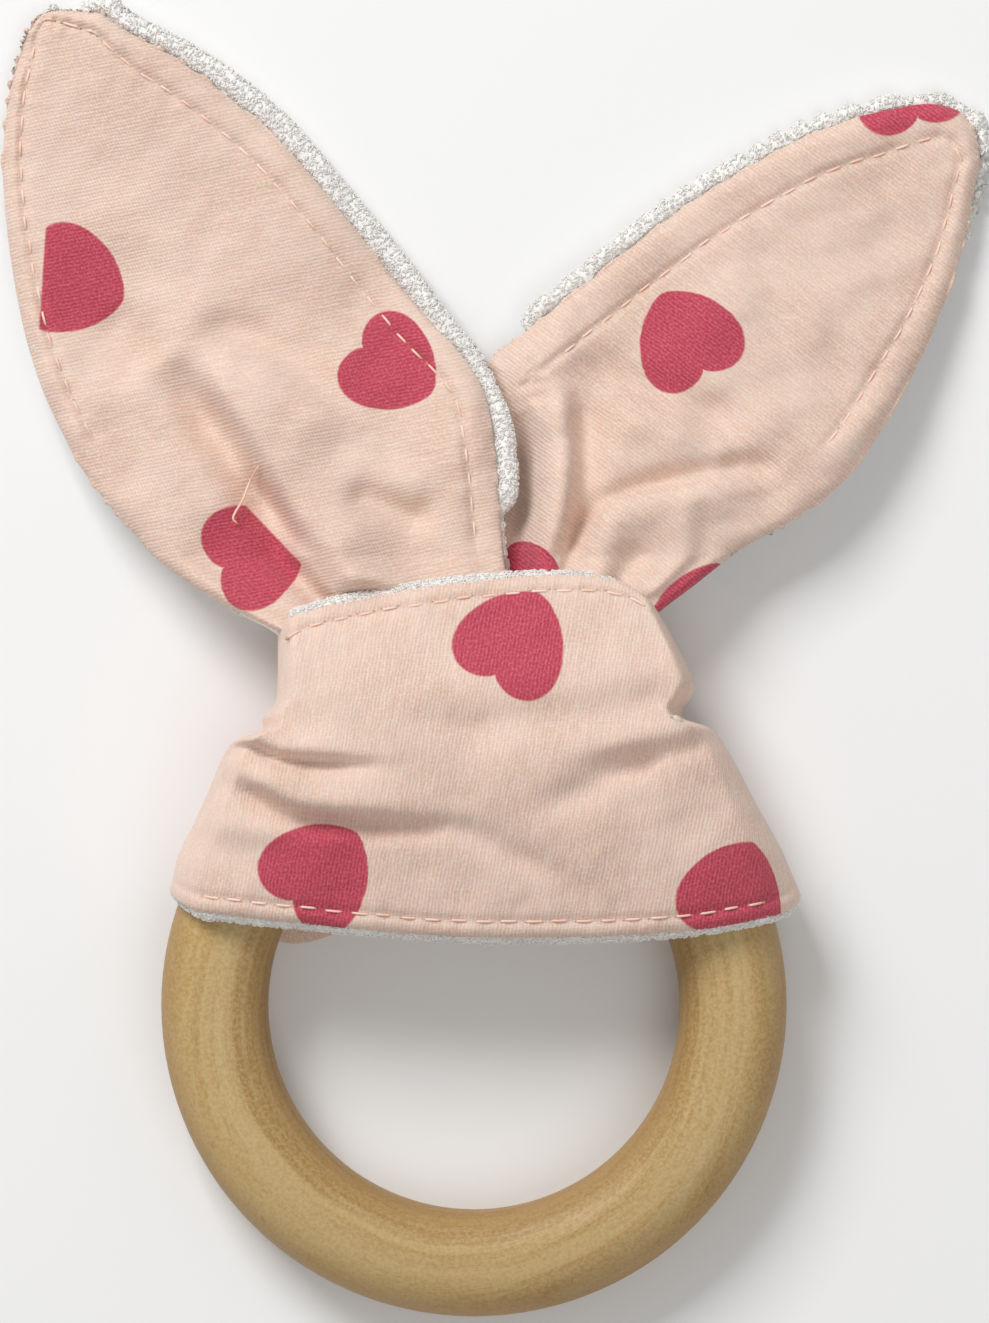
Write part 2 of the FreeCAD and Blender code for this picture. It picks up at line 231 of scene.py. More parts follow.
def spline(points, count, lead=None, trail=None):
    """Smooth line through the points at equal steps."""
    given = np.array(points, float)
    before = 2 * given[0] - given[1] if lead is None else np.array(lead, float)
    after = 2 * given[-1] - given[-2] if trail is None else np.array(trail, float)
    p = np.vstack([before, given, after])
    t = np.linspace(0, 1, 24, endpoint=False)[:, None]
    runs = []
    for a, b, c, d in zip(p, p[1:], p[2:], p[3:]):
        square = (2 * a - 5 * b + 4 * c - d) * t**2
        cube = (3 * b - a - 3 * c + d) * t**3
        runs.append(0.5 * (2 * b + (c - a) * t + square + cube))
    dense = np.vstack(runs + [given[-1:]])
    place = length_along(dense)
    steps = np.linspace(0, place[-1], count)
    return np.stack([np.interp(steps, place, dense[:, k]) for k in range(dense.shape[1])], 1)


def length_along(line):
    return np.concatenate([[0], np.cumsum(np.linalg.norm(np.diff(line, axis=0), axis=1))])


def along(stations, position):
    """Height of the smooth line through the stations."""
    line = spline(stations, 300)
    return np.interp(position, line[:, 0], line[:, 1])


def smoothstep(low, high, value):
    t = np.clip((value - low) / (high - low), 0, 1)
    return t * t * (3 - 2 * t)


def inset(line, amount):
    """The line moved to the right of its direction."""
    tangent = np.gradient(line, axis=0)
    kernel = np.ones(9) / 9
    padded = np.pad(tangent, ((4, 4), (0, 0)), mode="edge")
    tangent = np.stack([np.convolve(padded[:, k], kernel, "valid") for k in (0, 1)], 1)
    tangent /= np.linalg.norm(tangent, axis=1)[:, None]
    return line + np.stack([tangent[:, 1], -tangent[:, 0]], 1) * np.asarray(amount)[..., None]


def patch(left, right, near, far):
    """Grid of points spanned by four sides: rows go from near to far, columns from left to right."""
    v = np.linspace(0, 1, len(left))[:, None, None]
    u = np.linspace(0, 1, len(near))[None, :, None]
    sides = (1 - u) * left[:, None] + u * right[:, None]
    ends = (1 - v) * near[None] + v * far[None]
    corners = (1 - v) * ((1 - u) * near[0] + u * near[-1]) + v * ((1 - u) * far[0] + u * far[-1])
    return sides + ends - corners


def sample(grid, rows, columns):
    """Points of a grid at fractional places, both from 0 to 1."""
    j = np.clip(rows, 0, 1) * (grid.shape[0] - 1)
    i = np.clip(columns, 0, 1) * (grid.shape[1] - 1)
    j0 = np.minimum(j.astype(int), grid.shape[0] - 2)
    i0 = np.minimum(i.astype(int), grid.shape[1] - 2)
    fj = (j - j0)[..., None]
    fi = (i - i0)[..., None]
    low = grid[j0, i0] * (1 - fi) + grid[j0, i0 + 1] * fi
    high = grid[j0 + 1, i0] * (1 - fi) + grid[j0 + 1, i0 + 1] * fi
    return low * (1 - fj) + high * fj


def eased(count, share):
    """From 0 to 1 with closer steps at both ends."""
    t = np.linspace(0, 1, count)
    return (1 - share) * t + share * (0.5 - 0.5 * np.cos(math.pi * t))


def nearest(xy, line):
    """Distance to a dense line, positive on its left, and the place along it from 0 to 1."""
    flat = xy.reshape(-1, 2)
    parts = np.array_split(flat, 1 + len(flat) // AT_ONCE)
    index = np.concatenate([((part[:, None] - line[None]) ** 2).sum(2).argmin(1) for part in parts])
    tangent = np.gradient(line, axis=0)[index]
    tangent /= np.linalg.norm(tangent, axis=1)[:, None]
    gap = flat - line[index]
    across = tangent[:, 0] * gap[:, 1] - tangent[:, 1] * gap[:, 0]
    size = np.linalg.norm(gap, axis=1)
    signed = np.where(across < 0, -size, size)
    return signed.reshape(xy.shape[:-1]), (index / (len(line) - 1)).reshape(xy.shape[:-1])


def fold(xy, points, steep_side, lift, gentle, steep, sink, reach, start, end):
    """Height of a fold: a lip with a gentle face and a steep one, and a valley at the steep foot."""
    distance, place = nearest(xy, spline(points, 90))
    distance = distance * steep_side
    width = np.where(distance > 0, steep, gentle)
    height = lift * np.exp(-((distance / width) ** 2))
    height -= sink * np.exp(-(((distance - 1.6 * steep) / reach) ** 2))
    fade = np.ones_like(place)
    if start:
        fade = fade * smoothstep(0, start, place)
    if end:
        fade = fade * smoothstep(0, end, 1 - place)
    return height * fade


def wobble(xy, size, seed):
    """Seeded smooth noise of about unit height, with bumps of about the size given."""
    rng = np.random.default_rng(seed)
    total = np.zeros(xy.shape[:-1])
    for _ in range(14):
        angle = rng.uniform(0, 2 * math.pi)
        wave = 2 * math.pi / (2.2 * size * rng.uniform(0.6, 1.6))
        phase = rng.uniform(0, 2 * math.pi)
        total += np.sin((xy[..., 0] * math.cos(angle) + xy[..., 1] * math.sin(angle)) * wave + phase)
    return total / math.sqrt(7)


def normals(grid):
    across = np.gradient(grid, axis=1)
    up = np.gradient(grid, axis=0)
    cross = np.cross(across, up)
    return cross / np.maximum(np.linalg.norm(cross, axis=2), 1e-9)[..., None]


def clear_ring(points, gap):
    """Pushes points out of the ring's tube so that they are at least gap from it."""
    c, s = math.cos(RING_TILT), math.sin(RING_TILT)
    x = points[..., 0]
    z = points[..., 2] - RING_Z
    y = points[..., 1] * c + z * s
    height = -points[..., 1] * s + z * c
    radius = np.maximum(np.hypot(x, y), 1e-6)
    side = np.where(radius > RING_MEAN_R, 1.0, -1.0)
    centre = RING_MEAN_R + side * TUBE_ARC_SHIFT
    out = radius - centre
    distance = np.maximum(np.hypot(out, height), 1e-6)
    grow = np.maximum((TUBE_ARC_R + gap) / distance, 1.0)
    new_radius = centre + out * grow
    new_height = height * grow
    new_y = y * new_radius / radius
    new_x = x * new_radius / radius
    return np.stack([new_x, new_y * c - new_height * s, new_y * s + new_height * c + RING_Z], -1)


def shell(top, bottom, bulge, steps):
    """Closed skin between two grids, with a rounded edge all round. Returns points, faces and, for
    each point, the grid cell it belongs to."""
    rows, columns = top.shape[:2]
    index = np.arange(rows * columns).reshape(rows, columns)
    border = np.concatenate([index[0, :-1], index[:-1, -1], index[-1, :0:-1], index[:0:-1, 0]])
    top_flat, bottom_flat = top.reshape(-1, 3), bottom.reshape(-1, 3)
    middle = (top_flat[border] + bottom_flat[border]) / 2
    half = (top_flat[border] - bottom_flat[border]) / 2
    tangent = np.roll(middle, -1, 0) - np.roll(middle, 1, 0)
    out = np.cross(tangent, half)
    out *= (np.linalg.norm(half, axis=1) / np.maximum(np.linalg.norm(out, axis=1), 1e-9))[:, None]
    loops = []
    for step in range(1, steps):
        angle = math.pi * step / steps
        loops.append(middle + half * math.cos(angle) + out * bulge * math.sin(angle))
    points = np.vstack([top_flat, bottom_flat] + loops)
    source = np.concatenate([np.arange(rows * columns)] * 2 + [border] * len(loops))
    quads = np.stack([index[:-1, :-1], index[:-1, 1:], index[1:, 1:], index[1:, :-1]], -1).reshape(-1, 4)
    under = quads[:, ::-1] + rows * columns
    first = 2 * rows * columns + np.arange(len(border))
    rings = [border] + [first + k * len(border) for k in range(len(loops))] + [border + rows * columns]
    walls = [np.stack([a, b, np.roll(b, -1), np.roll(a, -1)], 1) for a, b in zip(rings, rings[1:])]
    return points, np.vstack([quads, under] + walls), source


# ---------------------------------------------------------------- heights of the cloth

def build_ear(ear):
    """Adds the plan lines that an ear's pieces share."""
    sides = [spline(ear["left"], 110), spline(ear["far"], 110)[1:], spline(ear["right"], 110)[::-1][1:]]
    if ear is LEFT:
        sides[1] = spline(ear["far"], 30)[1:]
    outline = np.vstack(sides)
    place = length_along(outline)
    share = place / place[-1]
    marks = (len(sides[0]) - 1, len(sides[0]) + len(sides[1]) - 1)
    rim = np.interp(share, *zip(*ear["rim"]))
    stitch = np.interp(share, *zip(*ear["stitch"]))
    lines = {"outline": outline, "marks": marks, "rim": rim}
    lines["cotton"] = inset(outline, rim + 0.05)
    lines["terry"] = inset(outline, np.interp(share, *zip(*ear["lining"])))
    lines["seam"] = inset(outline, stitch)
    lines["stitch"] = stitch - rim
    return lines


def ear_base(ear, xy):
    """Height of an ear's cloth with its folds, without its hems."""
    y = xy[..., 1]
    height = along(EAR_CROWN_Y, y)
    distance, _ = nearest(xy, ear["lines"]["outline"])
    inside = np.maximum(-distance, 0)
    height += 0.9 * smoothstep(0, 14, inside) * smoothstep(52, 72, y)
    loose = smoothstep(112, 60, y)
    for line in LEFT_FOLDS if ear is LEFT else RIGHT_FOLDS:
        height += RELIEF * fold(xy, *line)
    seed = settings().seed + (10 if ear is LEFT else 20)
    height += (0.16 + 0.34 * loose) * wobble(xy, 9.0, seed) * smoothstep(0, 5, inside)
    height += (0.05 + 0.10 * loose) * wobble(xy, 3.6, seed + 1)
    height += 0.03 * wobble(xy, 1.4, seed + 2)
    if ear is LEFT:
        height += 1.3 * smoothstep(-12, 3, xy[..., 0]) * smoothstep(84, 70, y)
    else:
        height -= 2.2 * smoothstep(10, 3.5, xy[..., 0]) * smoothstep(50, 56, y) * smoothstep(84, 68, y)
    return height


def ear_hem(ear, xy):
    """Turned edge, puffed seam allowance and the pull of the stitches."""
    lines = ear["lines"]
    distance, place = nearest(xy, lines["cotton"])
    inside = np.maximum(-distance, 0)
    rim = np.interp(place, np.linspace(0, 1, len(lines["rim"])), lines["rim"])
    stitch = np.interp(place, np.linspace(0, 1, len(lines["stitch"])), lines["stitch"])
    rolled = 1 - np.clip(rim / 0.7, 0, 1)
    depth = 1.0 + 1.5 * rolled
    width = 1.6 + 1.7 * rolled
    fall = depth * (1 - np.sqrt(np.clip(1 - (1 - np.minimum(inside / width, 1)) ** 2, 0, 1)))
    puff = 0.4 * np.sin(math.pi * np.clip(inside / np.maximum(stitch, 0.5), 0, 1))
    gap, run = nearest(xy, lines["seam"])
    length = length_along(lines["seam"])[-1]
    shown = 0
    for a, b in ear["rows"]:
        shown = shown + smoothstep(a - 0.01, a + 0.01, run) * smoothstep(b + 0.01, b - 0.01, run)
    pull = 0.42 * np.exp(-((gap / 0.5) ** 2)) * shown
    turn = 2 * math.pi * run * length / mm("stitch_pitch")
    pucker = 0.11 * np.cos(turn) * np.exp(-((gap / 1.3) ** 2)) * shown
    return -fall + puff * shown - pull + pucker


def band_base(xy):
    """Height of the front of the band with its folds."""
    a = along(BAND_CROWN_Y, xy[..., 1])
    b = along(BAND_CROWN_X, xy[..., 0])
    height = -np.log(np.exp(-1.1 * a) + np.exp(-1.1 * b)) / 1.1
    for line in BAND_FOLDS:
        height += RELIEF * fold(xy, *line)
    seed = settings().seed
    unevenness = 0.20 * wobble(xy, 8.0, seed) + 0.07 * wobble(xy, 3.2, seed + 1)
    return height + (unevenness + 0.025 * wobble(xy, 1.3, seed + 2))


def band_hem(rows_low, rows_high, xy):
    """Turned edges and stitch pull of the band, from the distances to its two cotton edges."""
    total = np.zeros_like(rows_low)
    for inside in (rows_low, rows_high):
        fall = 0.9 * (1 - np.sqrt(np.clip(1 - (1 - np.minimum(inside / 1.4, 1)) ** 2, 0, 1)))
        gap = inside - mm("band_seam")
        pucker = 0.08 * np.cos(2 * math.pi * xy[..., 0] / mm("stitch_pitch")) * np.exp(-((gap / 1.4) ** 2))
        total += -fall - 0.36 * np.exp(-((gap / 0.45) ** 2)) + pucker
    return total


# ---------------------------------------------------------------- cloth grids

def ear_grid(ear, line, columns, rows, cotton):
    """Upper surface of one ply of an ear and of its strip end under the band."""
    lines = ear["lines"]
    edge = lines[line]
    first, second = lines["marks"]
    across = eased(columns, 0.55)
    up = eased(rows, 0.35)

    def pick(part, at):
        place = length_along(part)
        return np.stack([np.interp(at * place[-1], place, part[:, k]) for k in (0, 1)], 1)

    left = pick(edge[:first + 1], up)
    far = pick(edge[first:second + 1], across)
    right = pick(edge[second:][::-1], up)
    near = (1 - across)[:, None] * left[0] + across[:, None] * right[0]
    plan = patch(left, right, near, far)
    height = ear_base(ear, plan)
    if cotton:
        height += ear_hem(ear, plan)
    else:
        distance, _ = nearest(plan, lines["cotton"])
        height += np.where(distance < 0, ear_hem(ear, plan) - mm("cotton") - 0.30, -1.0)
        rise = smoothstep(0.0, 0.7, distance)
        height += np.where(distance >= 0, 0.35 * rise - 0.5 * (1 - rise), 0)
    grid = np.concatenate([plan, height[..., None]], 2)
    whole = np.vstack([[EAR_FOOT, along(EAR_CROWN_Y, EAR_FOOT), edge[0, 0], edge[-1, 0]], ear["tail"]])
    path = spline(whole[:, :2], 60, lead=(54.0, 9.4))
    place = length_along(path)
    key = np.array([place[np.argmin(((path - row[:2]) ** 2).sum(1))] for row in whole])
    low = np.interp(place, key, whole[:, 2])
    high = np.interp(place, key, whole[:, 3])
    width = (near[:, 0] - near[0, 0]) / (near[-1, 0] - near[0, 0])
    left_over = grid[0, :, 2] - whole[0, 1]
    fade = smoothstep(22, 4, place)
    under = np.empty((len(path), columns, 3))
    under[..., 0] = low[:, None] + (high - low)[:, None] * width[None]
    under[..., 1] = path[:, 0][:, None] + (near[:, 1] - EAR_FOOT)[None] * fade[:, None]
    under[..., 2] = path[:, 1][:, None] + left_over[None] * fade[:, None]
    drop = 0.0 if cotton else 1.3
    under[..., 2] -= drop * smoothstep(-0.5, 1.2, place)[:, None]
    ceiling = band_base(under[..., :2]) - 3.3 + 8.0 * smoothstep(45.0, 49.5, path[:, 0])[:, None]
    inner = (path[:, 1] > 11)[:, None]
    under[..., 2] = np.where(inner, np.minimum(under[..., 2], ceiling - drop), under[..., 2])
    return np.concatenate([under[:0:-1], grid])


def band_plan(left_side=BAND_LEFT, right_side=BAND_RIGHT):
    """Whole plan of the band's front, from its outline."""
    left, right = spline(left_side, 160), spline(right_side, 160)
    near, far = spline(BAND_BOTTOM, 160), spline(BAND_TOP, 160)
    return patch(left, right, near, far)


def band_grid(low, high, flank, rows, cotton):
    """Outer surface of one ply of the band: back, flank, front, flank and back, as rows going up.
    Also returns the print's coordinates and which columns are the front."""
    full = band_plan() if cotton else band_plan(LINING_LEFT, LINING_RIGHT)
    tall = np.linalg.norm(full[-1] - full[0], axis=1)
    wide = np.linalg.norm(full[:, -1] - full[:, 0], axis=1)
    across = np.linspace(0, 1, FRONT_STEPS)[None, :]
    up = eased(rows, 0.45)[:, None]
    b = up * np.ones_like(across)
    for _ in range(3):
        margin = flank / np.interp(b, np.linspace(0, 1, len(wide)), wide)
        a = margin + (1 - 2 * margin) * across
        length = np.interp(a, np.linspace(0, 1, len(tall)), tall)
        b = low / length + (1 - (low + high) / length) * up
    plan = sample(full, b, a)
    height = band_base(plan)
    rows_low = (b * length) - mm("band_rim_low")
    rows_high = ((1 - b) * length) - mm("band_rim_high")
    hem = band_hem(np.maximum(rows_low, 0), np.maximum(rows_high, 0), plan)
    if cotton:
        height += hem
    else:
        outside = np.maximum(-rows_low, -rows_high)
        rise = smoothstep(0.0, 0.6, outside)
        height += np.where(outside < 0, hem - mm("cotton") - 0.08, -0.95 + 0.3 * rise - 0.35 * (1 - rise))
    front = np.concatenate([plan, height[..., None]], 2)
    v = up[:, 0]
    edges = {-1: sample(full, b[:, 0], np.zeros(rows)), 1: sample(full, b[:, -1], np.ones(rows))}
    parts = {}
    for side in (-1, 1):
        start = front[:, 0] if side < 0 else front[:, -1]
        lead = front[:, 5] if side < 0 else front[:, -6]
        rim_x = edges[side][:, 0]
        path = []
        for row in range(rows):
            x0, y0, z0 = start[row]
            xl = rim_x[row]
            up_low = (1 - v[row]) ** 2
            y1 = y0 + 3.0 * up_low - 1.5 * v[row]
            points = [(x0, y0, z0), (xl - side * 0.45 * flank / 3, y0 + 0.4 * (y1 - y0), z0 * 0.80),
                      (xl, y0 + 0.8 * (y1 - y0), z0 * 0.52), (xl - side * 1.0, y1, z0 * 0.22),
                      (xl - side * 4.2, y1 - 0.5, 0.75)]
            for foot, top, z in BACK_PLAN[side]:
                x = np.interp(v[row], (0, 1), (foot[0], top[0]))
                y = np.interp(v[row], (0, 1), (foot[1], top[1])) + (0 if cotton else 2.5) * up_low
                points.append((x, y, z))
            path.append(spline(points, BACK_STEPS, lead=lead[row]))
        parts[side] = np.array(path)
        ripple = 0.5 * np.sin(v * 23.0)[:, None] * smoothstep(10, 40, np.arange(BACK_STEPS))[None]
        parts[side][..., 2] += np.abs(ripple)
    left, right = parts[-1][:, :0:-1], parts[1][:, 1:]
    grid = np.concatenate([left, front, right], 1)
    print_uv = np.empty(grid.shape[:2] + (2,))
    count = left.shape[1]
    print_uv[:, count:count + front.shape[1]] = plan
    for side, columns in ((-1, range(count - 1, -1, -1)), (1, range(count + front.shape[1], grid.shape[1]))):
        for column in columns:
            beside = column - side
            step = np.linalg.norm(grid[:, column] - grid[:, beside], axis=1)
            print_uv[:, column, 0] = print_uv[:, beside, 0] + side * step
            print_uv[:, column, 1] = print_uv[:, beside, 1]
    return grid, print_uv, (count, count + front.shape[1])


# ---------------------------------------------------------------- meshes

def make_piece(name, points, faces, uvs, materials, face_material=None):
    """A mesh piece in the frame, with its UV maps in millimetres."""
    mesh = bpy.data.meshes.new(name)
    moved = (np.asarray(points) + (RING_X, RING_Y, 0.0)) * MM
    mesh.from_pydata(moved.tolist(), [], faces.tolist() if isinstance(faces, np.ndarray) else faces)
    corner = np.zeros(len(mesh.loops), np.int32)
    mesh.loops.foreach_get("vertex_index", corner)
    for title, uv in uvs.items():
        layer = mesh.uv_layers.new(name=title)
        layer.data.foreach_set("uv", np.asarray(uv, np.float32)[corner].ravel())
    for material in materials:
        mesh.materials.append(material)
    if face_material is not None:
        mesh.polygons.foreach_set("material_index", np.asarray(face_material, np.int32))
    mesh.polygons.foreach_set("use_smooth", np.ones(len(mesh.polygons), bool))
    mesh.update()
    piece = bpy.data.objects.new(name, mesh)
    bpy.context.scene.collection.objects.link(piece)
    return piece


def turned(uv, degrees, centre):
    """Coordinates turned so that the ribs run across the first one."""
    angle = math.radians(degrees)
    x = uv[..., 0] - centre[0]
    y = uv[..., 1] - centre[1]
    c, s = math.cos(angle), math.sin(angle)
    return np.stack([y * c - x * s, x * c + y * s], -1)


def pile(points, faces, weight, seed):
    """Little terry loops standing on the faces given, by area and weight."""
    props = settings()
    rng = np.random.default_rng(seed)
    corners = points[faces]
    cross = np.cross(corners[:, 2] - corners[:, 0], corners[:, 3] - corners[:, 1])
    area = np.linalg.norm(cross, axis=1) / 2
    normal = cross / np.maximum(2 * area, 1e-9)[:, None]
    chance = area * weight
    count = min(int(chance.sum() * props.loop_density), MOST_LOOPS)
    chosen = rng.choice(len(faces), count, p=chance / chance.sum())
    mix = rng.dirichlet(np.ones(4), count)
    base = (corners[chosen] * mix[..., None]).sum(1)
    normal = normal[chosen] + rng.normal(0, 0.35, (count, 3))
    normal /= np.linalg.norm(normal, axis=1)[:, None]
    side = np.cross(normal, rng.normal(0, 1, (count, 3)))
    side /= np.linalg.norm(side, axis=1)[:, None]
    depth = np.cross(normal, side)
    size = mm("loop_radius") * rng.uniform(0.75, 1.25, count)
    thick = mm("loop_thread")
    arc = np.linspace(-0.2, math.pi + 0.2, 5)
    sides = 4
    tube = np.linspace(0, 2 * math.pi, sides, endpoint=False)
    verts = []
    for a in arc:
        for t in tube:
            reach = size + thick * math.cos(t)
            out = side * (reach * math.cos(a))[:, None] + normal * (reach * math.sin(a))[:, None]
            verts.append(base + out + depth * thick * math.sin(t))
    verts = np.stack(verts, 1)
    quads = []
    for a in range(len(arc) - 1):
        for t in range(sides):
            n = (t + 1) % sides
            quads.append((a * sides + t, a * sides + n, (a + 1) * sides + n, (a + 1) * sides + t))
    quads = np.array(quads)[None] + (np.arange(count) * len(arc) * sides)[:, None, None]
    verts = verts.reshape(-1, 3)
    verts[:, 2] = np.maximum(verts[:, 2], TABLE)
    return verts, quads.reshape(-1, 4)


def keep_above(grid, low):
    """The grid with no point lower than low."""
    grid[..., 2] = np.maximum(grid[..., 2], low)
    return grid


def sides_of(faces, cells):
    """Which faces of a skin are on its edge all round, and which are not underneath."""
    last = faces.max(1)
    return faces.min(1) >= 2 * cells, (last < cells) | (last >= 2 * cells)


def towelling(name, points, faces, flat, shown, seed):
    """A towelling piece: a skin with loops standing on the faces shown."""
    loops, quads = pile(points, faces, shown.astype(float), seed)
    uv = np.vstack([flat, loops[:, :2]])
    all_faces = np.vstack([faces, quads + len(points)])
    terry = bpy.data.materials["terry"]
    return make_piece(name, np.vstack([points, loops]), all_faces, {"print": uv}, [terry])


def tube_along(line, radius, sides=6, flat=1.0):
    """Closed thread along a line."""
    tangent = np.gradient(line, axis=0)
    tangent /= np.linalg.norm(tangent, axis=1)[:, None]
    side = np.cross(tangent, (0, 0, 1.0))
    side /= np.maximum(np.linalg.norm(side, axis=1), 1e-9)[:, None]
    up = np.cross(side, tangent)
    ring = np.linspace(0, 2 * math.pi, sides, endpoint=False)
    taper = np.ones(len(line))
    taper[0] = taper[-1] = 0.45
    points = np.concatenate([
        point + np.outer(np.cos(ring), s) * radius * k + np.outer(np.sin(ring), u) * radius * k * flat
        for point, s, u, k in zip(line, side, up, taper)])
    faces = []
    for row in range(len(line) - 1):
        for k in range(sides):
            n = (k + 1) % sides
            faces.append((row * sides + k, (row + 1) * sides + k, (row + 1) * sides + n, row * sides + n))
    caps = [tuple(range(sides)), tuple(range(len(line) * sides - 1, (len(line) - 1) * sides - 1, -1))]
    return points, faces, caps


def join(parts):
    """Points and faces of several parts as one."""
    points, faces, start = [], [], 0
    for some, quads in parts:
        points.append(some)
        faces += [tuple(int(i) + start for i in face) for face in quads]
        start += len(some)
    return np.vstack(points), faces


def stitches(line3, spans):
    """Thread stitches along a line on the cloth, and at each end of a stitch a small dark disc of painted
    shade for the needle hole.
    """
    props = settings()
    place = length_along(line3)
    rng = np.random.default_rng(props.seed + 77)
    threads, hole_shade_discs = [], []
    for first, last in spans:
        position = first * place[-1]
        while position + mm("stitch_length") < last * place[-1]:
            size = mm("stitch_length") * rng.uniform(0.88, 1.08)
            at = position + np.linspace(0, 1, 7) * size
            run = np.stack([np.interp(at, place, line3[:, k]) for k in range(3)], 1)
            run[:, :2] += rng.normal(0, 0.05, 2)
            run[:, 2] += np.array([-0.12, 0.10, 0.19, 0.22, 0.19, 0.10, -0.12])
            points, faces, caps = tube_along(run, mm("thread_radius"), 6, 0.8)
            threads.append((points, faces + caps))
            # Each end of a stitch gets a small dark disc: painted shade where the needle went through the
            # cloth.
            for end in (run[0], run[-1]):
                ring = np.linspace(0, 2 * math.pi, 8, endpoint=False)
                rim = end + np.stack([0.24 * np.cos(ring), 0.24 * np.sin(ring), 0 * ring + 0.10], 1)
                peak = end + (0, 0, 0.15)
                base = end - (0, 0, 0.1)
                fan = [(k, (k + 1) % 8, 8) for k in range(8)] + [((k + 1) % 8, k, 9) for k in range(8)]
                hole_shade_discs.append((np.vstack([rim, peak, base]), fan))
            position += mm("stitch_pitch")
    return threads, hole_shade_discs


# ---------------------------------------------------------------- shader maths

class Value:
    """A shader socket that works in Python expressions."""

    def __init__(self, tree, socket):
        self.tree = tree
        self.socket = socket

    def add(self, kind, options=None, inputs=None, output=0):
        """A new node with its options set first and then its inputs, as numbers or links."""
        node = self.tree.nodes.new(kind)
        for name, option in (options or {}).items():
            setattr(node, name, option)
        for name, given in (inputs or {}).items():
            if isinstance(given, Value):
                self.tree.links.new(given.socket, node.inputs[name])
            else:
                node.inputs[name].default_value = given
        return Value(self.tree, node.outputs[output])

    def math(self, operation, *operands):
        return self.add("ShaderNodeMath", {"operation": operation}, dict(enumerate(operands)))

    def __add__(self, other):
        return self.math("ADD", self, other)

    def __radd__(self, other):
        return self.math("ADD", other, self)

    def __sub__(self, other):
        return self.math("SUBTRACT", self, other)

    def __rsub__(self, other):
        return self.math("SUBTRACT", other, self)

    def __mul__(self, other):
        return self.math("MULTIPLY", self, other)

    def __rmul__(self, other):
        return self.math("MULTIPLY", other, self)

    def __truediv__(self, other):
        return self.math("DIVIDE", self, other)

    def __rtruediv__(self, other):
        return self.math("DIVIDE", other, self)

    def __pow__(self, other):
        return self.math("POWER", self, other)

    def sin(self):
        return self.math("SINE", self)

    def step(self, low, high):
        """Smooth rise from 0 at low to 1 at high."""
        return self.add("ShaderNodeMapRange", {"interpolation_type": "SMOOTHSTEP"},
                        {"Value": self, "From Min": low, "From Max": high})

    def vector(self, x, y, z):
        return self.add("ShaderNodeCombineXYZ", None, {"X": x, "Y": y, "Z": z})

    def noise(self, place, scale, detail=3.0, rough=0.5):
        return self.add("ShaderNodeTexNoise", None,
                        {"Vector": place, "Scale": scale, "Detail": detail, "Roughness": rough})

    def colours(self, first, second):
        """Mix of two colours, with this value as the share of the second."""
        return self.add("ShaderNodeMix", {"data_type": "RGBA"}, {0: self, 6: first, 7: second}, 2)


def new_material(name):
    material = bpy.data.materials.new(name)
    material.use_nodes = True
    return material, material.node_tree.nodes["Principled BSDF"], Value(material.node_tree, None)


def feed(shader, **sockets):
    """Sets the shader's sockets, named with _ for a space, to values or to numbers."""
    for name, given in sockets.items():
        socket = shader.inputs[name.replace("_", " ")]
        if isinstance(given, Value):
            given.tree.links.new(given.socket, socket)
        else:
            socket.default_value = given


def split(value):
    """The three parts of a vector."""
    node = value.tree.nodes.new("ShaderNodeSeparateXYZ")
    value.tree.links.new(value.socket, node.inputs[0])
    return [Value(value.tree, output) for output in node.outputs]


def bump(maker, height, distance, strength=1.0):
    return maker.add("ShaderNodeBump", None, {"Height": height, "Distance": distance, "Strength": strength})


def heart(x, y, middle_x, middle_y, degrees, size):
    """1 inside a heart, 0 outside."""
    angle = math.radians(degrees)
    dx, dy = x - middle_x, y - middle_y
    u = (dy * math.cos(angle) - dx * math.sin(angle)) / (size * 1.02)
    v = (dx * math.cos(angle) + dy * math.sin(angle)) / (-size)
    below = v.math("MAXIMUM", v * -1.0, 0.0)
    lobe = (u * u + below * 0.03) ** (1 / 3)
    return (u * u + v * v - 1.0 - lobe * (v + below * 0.22)).step(0.05, -0.05)


